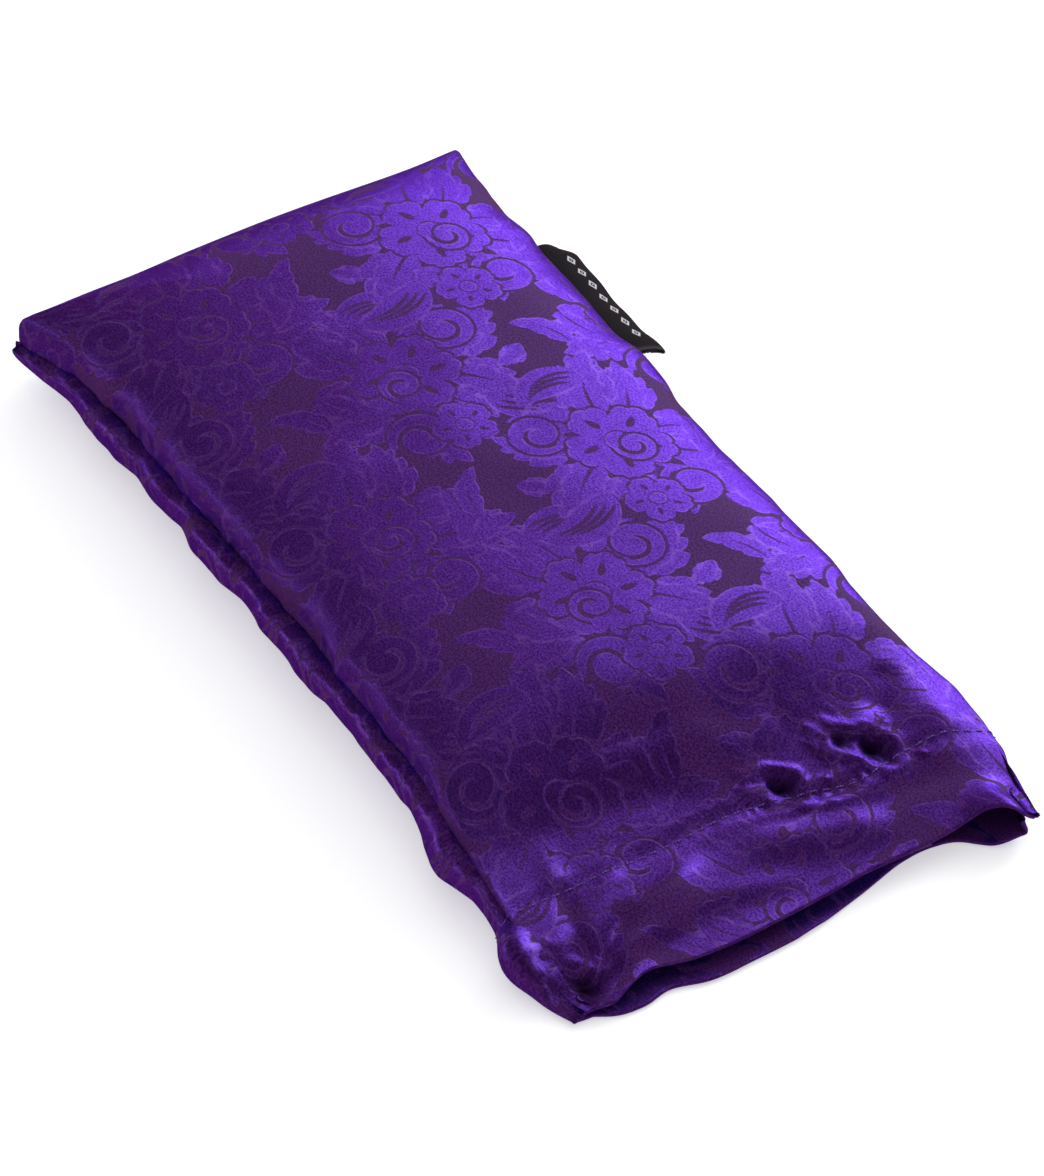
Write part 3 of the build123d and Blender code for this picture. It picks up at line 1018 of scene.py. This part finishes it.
def make_cover_threads():
    runs = []
    for side, column in ((-1, 0), (1, -1)):
        runs.append(stitch_run(*edge_line(top, column, (0, side, 0), far_x + 3, mouth_x - 4), *seam_stitch))
    sides = sew("side_seam_threads", runs, purple_thread)
    place(sides, "sewing_thread", "bend", "side_seam_thread_far", "side_seam_thread_near")

    line = top[0] + np.array([-0.25, 0, 0])
    outward = np.tile([-1.0, 0, 0], (len(line), 1))
    end = sew("far_end_stitches", [stitch_run(line, outward, *seam_stitch)], purple_thread)
    place(end, "sewing_thread", "far_half", "far_end_seam_thread")

    row = sew("hem_thread_top", [stitch_run(*row_line(top), *hem_stitch)], purple_thread)
    place(row, "sewing_thread", "lip", "mouth_hem_thread_top")
    row = sew("hem_thread_bottom", [stitch_run(*row_line(bottom), *hem_stitch, 0.6)], purple_thread)
    place(row, "sewing_thread", "near_half", "mouth_hem_thread_bottom")


make_cover_threads()


# ---- tapes in the mouth


tape_inset = 3.0
tape_x = (hook_low[0], hook_high[0] - tape_inset)
tape_reach = hook_high[1]
tape_thickness = 0.7
fibre_pitch = 1.5


def surface_z(points, x, y):
    """Height of a panel near its mouth, at any place in plan."""
    start = 3 * len(points) // 4
    spot = points[start::2, ::2]
    columns = np.arange(spot.shape[1])
    middle = spot[spot.shape[0] // 2, :, 1]
    column = np.clip(np.interp(y, middle, columns), 0, len(columns) - 1.001)
    left = column.astype(int)
    share = column - left
    out = np.zeros_like(x)
    for j in np.unique(left):
        here = left == j
        low = np.interp(x[here], spot[:, j, 0], spot[:, j, 2])
        high = np.interp(x[here], spot[:, j + 1, 0], spot[:, j + 1, 2])
        out[here] = low * (1 - share[here]) + high * share[here]
    return out


def tape_strip(height, face):
    """A thin woven strip on a surface: its cross-section runs round it, and its face has slight ribs."""
    stations = np.linspace(-tape_reach, tape_reach, 141)
    flat = np.linspace(*tape_x, 33)
    half = tape_thickness / 2
    around_x = np.concatenate([flat, flat[::-1]])
    around_z = np.concatenate([np.full(33, half), np.full(33, -half)])
    around_x[[0, 32, 33, 65]] += np.array([0.15, -0.15, -0.15, 0.15])
    x = np.tile(around_x, (141, 1))
    y = np.tile(stations[:, None], (1, 66))
    ribs = 0.05 * np.sin(2 * np.pi * y / 1.1) + 0.04 * np.sin(2 * np.pi * x / 0.9)
    z = height(x, y) + around_z[None, :] * (1 + ribs)
    return np.stack([x, y, z], -1), face * half


def tape_border(height, offset):
    """The stitch line round a tape, a little in from its edge."""
    low, high, reach = tape_x[0] + 1.5, tape_x[1] - 1.5, tape_reach - 1.5
    corners = [(low, -reach), (high, -reach), (high, reach), (low, reach), (low, -reach)]
    line = []
    for (x0, y0), (x1, y1) in zip(corners, corners[1:]):
        t = np.linspace(0, 1, 60, endpoint=False)
        line.append(np.stack([x0 + (x1 - x0) * t, y0 + (y1 - y0) * t], 1))
    plan = np.concatenate(line + [np.array([corners[0]])])
    z = height(plan[:, 0], plan[:, 1]) + offset
    return np.concatenate([plan, z[:, None]], 1)


def fibre_feet(height, offset, seed):
    """Places of the hooks or loops, inside the stitch line, slightly uneven."""
    x, y = np.meshgrid(
        np.arange(tape_x[0] + 2.6, tape_x[1] - 2.2, fibre_pitch),
        np.arange(-tape_reach + 2.6, tape_reach - 2.2, fibre_pitch), indexing="ij",
    )
    random = np.random.RandomState(seed)
    x = x.ravel() + random.uniform(-0.15, 0.15, x.size)
    y = y.ravel() + random.uniform(-0.15, 0.15, y.size)
    return np.stack([x, y, height(x, y) + offset], 1), random


def make_tape(kind, height, face, shapes, material, follows):
    """A strip of tape with its hooks or loops, and the stitches round it."""
    strip, offset = tape_strip(height, face)
    made = Shape()
    made.add(strip, around=True)
    feet, random = fibre_feet(height, offset, 7 + face)
    turns = random.uniform(-0.5, 0.5, len(feet)) + np.pi * (np.arange(len(feet)) % 2)
    plan = np.stack([np.cos(turns), np.sin(turns), np.zeros(len(feet))], 1)
    run, rise, radii = shapes
    paths = feet[:, None] + plan[:, None] * run[None, :, None]
    paths[..., 2] += face * rise
    side = np.stack([-np.sin(turns), np.cos(turns), np.zeros(len(feet))], 1)
    made.tubes(paths, radii, side[:, None], sides=5)
    node = f"{kind}_tape"
    place(made.piece(f"{kind}_strip", material), node, follows, node)
    line = tape_border(height, offset)
    up = np.tile([0.0, 0.0, float(face)], (len(line), 1))
    stitches = sew(f"{kind}_strip_stitches", [stitch_run(line, up, *tape_stitch)], purple_thread)
    place(stitches, "sewing_thread", follows, f"{node}_thread")


def make_tapes():
    lift = 2 * fold_radius + tape_thickness / 2 + 0.1
    hook = (
        np.array([0.0, 0.0, 0.08, 0.24, 0.38, 0.4]), np.array([-0.1, 0.28, 0.5, 0.6, 0.5, 0.34]),
        np.array([0.13, 0.12, 0.11, 0.1, 0.08, 0.05]),
    )
    loop = (
        np.array([-0.3, -0.34, -0.2, 0.0, 0.2, 0.34, 0.3]),
        np.array([-0.1, 0.2, 0.42, 0.5, 0.42, 0.2, -0.1]), np.full(7, 0.07),
    )
    make_tape(
        "hook", lambda x, y: surface_z(bottom, x, y) + lift, 1, hook,
        tape_material("hook_nylon", rgb(44, 16, 74), rgb(98, 48, 150), 0.3), "near_half",
    )
    make_tape(
        "loop", lambda x, y: surface_z(top, x, y) - lift, -1, loop,
        tape_material("loop_nylon", rgb(58, 22, 90), rgb(124, 74, 176), 0.75), "lip",
    )


make_tapes()


# ---- label


def make_label():
    """A ribbon folded once along its outer edge, with its raw ends melted and a little frayed."""
    rows, layer = 150, 0.32
    low, high = label_low[0], label_high[0]
    reach = label_high[1] - label_root_y - 1.4
    half_gap = 0.24
    x = np.linspace(low, high, rows)
    upper = np.linspace(-2.2, reach - half_gap - layer, 26)
    bend = np.linspace(-np.pi / 2, np.pi / 2, 11)[1:-1]
    outer = half_gap + layer
    tip = reach - outer
    top_out = np.stack([upper, np.full(26, outer)], 1)
    fold_out = np.stack([tip + outer * np.cos(bend[::-1]), outer * np.sin(bend[::-1])], 1)
    top_in = np.stack([upper, np.full(26, half_gap)], 1)
    fold_in = np.stack([tip + half_gap * np.cos(bend), half_gap * np.sin(bend)], 1)
    under = np.array([1.0, -1.0])
    ring = np.concatenate([
        top_out, fold_out, top_out[::-1] * under, top_in * under, fold_in, top_in[::-1],
    ])
    out, up = np.tile(ring[:, 0], (rows, 1)), np.tile(ring[:, 1], (rows, 1))
    along = np.tile(x[:, None] - low, (1, len(ring)))
    share = along / (high - low)
    free = np.clip(out / reach, 0, 1)
    wave = 0.5 * np.sin(2.4 * share * np.pi + 0.4) + 0.25 * np.sin(7.0 * share * np.pi)
    corner = ease(share, 0.78, 1.0) * free**2
    lift = wave * free**1.5 + 0.9 * corner - 3.2 * free**2
    narrow = 1 - 0.3 * (1 - ease(share, 0.0, 0.12))
    rough_end = 0.25 * np.sin(9 * out) * (ease(share, 0.97, 1.0) - ease(1 - share, 0.97, 1.0)) * free
    points = np.stack([
        low + along + rough_end + 1.1 * corner,
        label_root_y + np.where(out > 0, out * narrow, out),
        label_root_z + up * (1 - 0.45 * (out < 0)) + lift,
    ], -1)
    face = np.broadcast_to((up > 0.9 * half_gap).astype(float), out.shape)
    made = Shape()
    made.add(points, around=True, ribbon=np.stack([along, out, face], -1))

    random = np.random.RandomState(17)
    count = 26
    foot_y = random.uniform(1.0, reach - 0.4, count)
    column = np.searchsorted(upper, foot_y).clip(0, 25)
    feet = points[-1, column] + np.stack([
        np.zeros(count), random.uniform(-0.1, 0.1, count), random.uniform(-0.35, 0.0, count),
    ], 1)
    t = np.linspace(0, 1, 5)[None, :, None]
    run = np.stack([random.uniform(0.5, 1.5, count), random.uniform(-0.5, 0.5, count),
                    random.uniform(-0.5, 0.4, count)], 1)[:, None]
    paths = feet[:, None] - [0.3, 0, 0] + run * t + np.array([0, 0, -0.3]) * t**2
    ribbon = np.tile(np.array([39.0, 0.0, 0.0]), (count, 25, 1))
    made.tubes(paths, [0.06, 0.06, 0.05, 0.04, 0.02], (0.0, 0.0, 1.0), sides=5,
               ribbon=ribbon)
    place(made.piece("label_ribbon", label_material()), "black_label", "flap", "woven_label")


make_label()


# ---- inner pillow


bag_margin = 0.6
bag_crown = crown_z - 5.0
bag_start, bag_end = bag_far_low[0] + bag_margin, bag_near_high[0] - bag_margin
bag_half = bag_far_high[1] - bag_margin
bag_floor = 1.3


def bag_seam_z(x):
    return through(x, (-106, 9.6), (-60, 11.4), (40, 11.4), (80, 5.9))


def bag_height(x, y, side):
    """Height of the inner pillow's top (side 1) or bottom (side -1), flat where it lies on the cover."""
    s = np.clip(np.abs(2 * (x - bag_start) / (bag_end - bag_start) - 1), 0, 1)
    full = ((1 - s**3) * (1 - np.clip(np.abs(y) / bag_half, 0, 1) ** 2.6)) ** 0.62
    crown = np.minimum(bag_crown, crown_z_at(x) - 4.5)
    target = crown if side > 0 else bag_floor
    return bag_seam_z(x) + (target - bag_seam_z(x)) * (full if side > 0 else np.minimum(1.25 * full, 1.0))


def bag_panel(side, rows=220, columns=120):
    x = (bag_start + bag_end) / 2 - (bag_end - bag_start) / 2 * np.cos(np.linspace(0, np.pi, rows))[:, None]
    y = bag_half * np.sin(np.linspace(-np.pi / 2, np.pi / 2, columns))[None, :]
    x, y = np.broadcast_arrays(x, y)
    pulled = 1 - 0.035 * np.sin(np.pi * np.clip((x - bag_start) / (bag_end - bag_start), 0, 1)) ** 2
    z = bag_height(x, y, side)
    edge = np.minimum(bag_half - np.abs(y), np.minimum(x - bag_start, bag_end - x))
    pucker = np.where(bag_half - np.abs(y) < edge + 1e-6, noise(x, y * 0, 3.4, 41), noise(x * 0, y, 3.4, 42))
    z = z + side * (0.45 * pucker * np.exp(-edge / 7) * ease(edge, 0, 1.5) + 0.35 * noise(x, y, 17, 43))
    return np.stack([x, y * pulled, z], -1), x, y * pulled


def make_inner_bag():
    muslin = muslin_material()
    edges = []
    for side, name in ((1, "inner_bag_top"), (-1, "inner_bag_bottom")):
        points, a, b = bag_panel(side)
        points[:, [0, -1], 2] = bag_seam_z(points[:, [0, -1], 0]) + side * 0.02
        points[[0, -1], :, 2] = bag_seam_z(points[[0, -1], :, 0]) + side * 0.02
        cloth = np.stack([a, b, np.zeros_like(a)], -1)
        order = slice(None) if side > 0 else slice(None, None, -1)
        sheet = Shape()
        sheet.add(points[:, order], cloth=cloth[:, order])
        place(sheet.piece(name, muslin), "muslin", "bend", name + "_far", name + "_near")
        edges.append(points)
    upper = edges[0]
    runs = []
    for side, column in ((-1, 1), (1, -2)):
        line = upper[4:-4, column]
        runs.append(stitch_run(line, np.tile([0, side * 0.5, 0.85], (len(line), 1)), *bag_stitch, 0.0))
    line = upper[1, 6:-6]
    runs.append(stitch_run(line, np.tile([-0.5, 0, 0.85], (len(line), 1)), *bag_stitch, 0.0))
    seam = sew("inner_bag_seam_threads", runs, cotton_thread)
    place(seam, "cotton_thread", "bend", "inner_bag_seam_thread_far", "inner_bag_seam_thread_near")

    count = 14
    y = np.linspace(closing_low[1], closing_high[1], count)
    turn = np.linspace(-0.85 * np.pi, 0.85 * np.pi, 13)
    loops = np.stack([
        np.broadcast_to(bag_end + 0.1 + 1.15 * np.cos(turn), (count, 13)),
        y[:, None] + 0.5 * turn / np.pi,
        bag_seam_z(bag_end) + np.broadcast_to(1.15 * np.sin(turn), (count, 13)),
    ], -1)
    closing = Shape()
    closing.tubes(loops, np.full(13, 0.2), (0.0, 1.0, 0.0))
    place(closing.piece("closing_stitches", cotton_thread), "cotton_thread", "near_half",
          "inner_bag_closing_thread")


def make_seeds():
    """The fill as one settled mass, with the outer seeds standing out of it."""
    rows, around = 300, 220
    seed_length, seed_width, proud = 4.2, 2.5, 0.75
    end_gap, face_gap, side_share = 3.4, 2.1, 0.92  # room left inside the bag
    t = np.linspace(0.02, 0.98, rows)[:, None]
    u = np.linspace(0, 2 * np.pi, around, endpoint=False)[None, :]
    x = bag_start + end_gap + (bag_end - bag_start - 2 * end_gap) * (1 - np.cos(np.pi * t)) / 2
    span = bag_half * side_share * (1 - np.abs(1 - 2 * t) ** 5) ** 0.5
    y = span * np.sign(np.cos(u)) * np.abs(np.cos(u)) ** 0.9
    upper, lower = bag_height(x, y * 1.03, 1), bag_height(x, y * 1.03, -1)
    middle, half = (upper + lower) / 2, (upper - lower) / 2
    z = middle + np.maximum(half - face_gap, 0.3) * np.sign(np.sin(u)) * np.abs(np.sin(u)) ** 0.75
    x, y = np.broadcast_to(x, z.shape), np.broadcast_to(y, z.shape)
    points = np.stack([x, y, z], -1)

    table = np.random.RandomState(23).uniform(-1, 1, (4, 97, 97))
    a, b = x / seed_length, (u * 44 / seed_width) * np.ones_like(x)
    best, kind = np.full(x.shape, 9.0), np.zeros(x.shape)
    for i in (-1, 0, 1):
        for j in (-1, 0, 1):
            ia, ib = np.floor(a).astype(int) + i, np.floor(b).astype(int) + j
            pick_one = table[:, ia % 97, ib % 97]
            da, db = a - ia - 0.5 - 0.3 * pick_one[0], b - ib - 0.5 - 0.3 * pick_one[1]
            c, s = np.cos(1.5 * pick_one[2]), np.sin(1.5 * pick_one[2])
            away = np.hypot((da * c + db * s) * 1.75, (-da * s + db * c) * 1.9)
            kind = np.where(away < best, 0.5 + 0.5 * pick_one[3], kind)
            best = np.minimum(best, away)
    bump = proud * np.sqrt(np.clip(1 - best**2, 0, 1))
    out = np.stack([np.zeros_like(x), np.cos(u) * np.ones_like(x), np.sin(u) * np.ones_like(x)], -1)
    made = Shape()
    made.add((points + out * bump[..., None])[:, ::-1], around=True, kind=kind[:, ::-1])
    place(made.piece("seed_fill", seed_material()), "seeds", "bend", "seed_fill_far", "seed_fill_near")


make_inner_bag()
make_seeds()


# ---- floor, light and camera


def direction(azimuth, elevation):
    """A unit vector back towards a viewer or a lamp: azimuth 0 is on the -Y side."""
    a, e = math.radians(azimuth), math.radians(elevation)
    return Vector((math.sin(a) * math.cos(e), -math.cos(a) * math.cos(e), math.sin(e)))


def add_aimed(name, data, towards, distance, target=Vector()):
    """Adds a camera or a lamp at a distance from its target, looking at it."""
    made = bpy.data.objects.new(name, data)
    made.location = target + towards * distance
    made.rotation_mode = "QUATERNION"
    made.rotation_quaternion = (-towards).to_track_quat("-Z", "Y")
    bpy.context.scene.collection.objects.link(made)
    return made


view_azimuth = 59.2
view_elevation = 43.2
view_distance = 3.0
view_lens = 444.3
lamp_distance = 2.4

back = direction(view_azimuth, view_elevation)
right = Vector((math.cos(math.radians(view_azimuth)), math.sin(math.radians(view_azimuth)), 0))
aim = right * 0.0016 + back.cross(right) * 0.0027

camera_data = bpy.data.cameras.new("camera")
camera_data.lens = view_lens
camera_data.clip_end = 20
bpy.context.scene.camera = add_aimed("camera", camera_data, back, view_distance, aim)


def area_light(name, azimuth, elevation, size_x, size_y, power, colour):
    data = bpy.data.lights.new(name, "AREA")
    data.shape = "RECTANGLE"
    data.size, data.size_y = size_x, size_y
    data.energy, data.color = power, colour
    add_aimed(name, data, direction(azimuth, elevation), lamp_distance)


def floor_material():
    m = Nodes("floor")
    return m.finish(
        Base_Color=rgb(250, 250, 251), Roughness=0.9, Specular_IOR_Level=0.0,
        Emission_Color=rgb(255, 255, 255), Emission_Strength=0.45,
    )


def make_floor():
    mesh = bpy.data.meshes.new("floor")
    reach, under = 6.0, -0.0002
    corners = [(-reach, -reach, under), (reach, -reach, under), (reach, reach, under), (-reach, reach, under)]
    mesh.from_pydata(corners, [], [(0, 1, 2, 3)])
    mesh.materials.append(floor_material())
    floor = bpy.data.objects.new("floor", mesh)
    floor.visible_glossy = False
    bpy.context.scene.collection.objects.link(floor)


def make_world():
    """Soft light from behind on the right. Shiny cloth sees a dim reddish room instead, with a glow below."""
    world = bpy.data.worlds.new("world")
    world.use_nodes = True
    m = Nodes("world", world.node_tree)
    away = m.add("ShaderNodeTexCoord").outputs["Generated"]
    towards = m.add("ShaderNodeVectorMath", {0: away, 1: direction(222, 18)}, operation="DOT_PRODUCT")
    lit = m.span(towards.outputs["Value"], 0.45, 1.0)
    below = m.span(m.add("ShaderNodeSeparateXYZ", {0: away}).outputs[2], -0.3, 0.4, 1.0, 0.0)
    soft = m.mix(lit, (0.5, 0.5, 0.52, 1), (1.4, 1.4, 1.4, 1))
    room = m.mix(lit, (0.1, 0.014, 0.026, 1), (0.4, 0.06, 0.1, 1))
    room = m.mix(below, room, (0.36, 0.1, 0.16, 1))
    glossy = m.add("ShaderNodeLightPath").outputs["Is Glossy Ray"]
    m.put(m.tree.nodes["Background"].inputs[0], m.mix(glossy, soft, room))
    bpy.context.scene.world = world


make_floor()
make_world()
area_light("key", 214, 16, 1.5, 0.9, 17, (0.9, 1.0, 1.0))
area_light("high_key", 198, 33, 0.8, 0.6, 7, (0.9, 1.0, 1.0))
area_light("slope_key", 205, 55, 1.2, 0.9, 1.2, (0.95, 0.95, 1.0))
area_light("side_fill", -48, 5, 1.6, 0.3, 5, (1.0, 0.85, 0.75))
bpy.context.scene.view_settings.view_transform = "Standard"
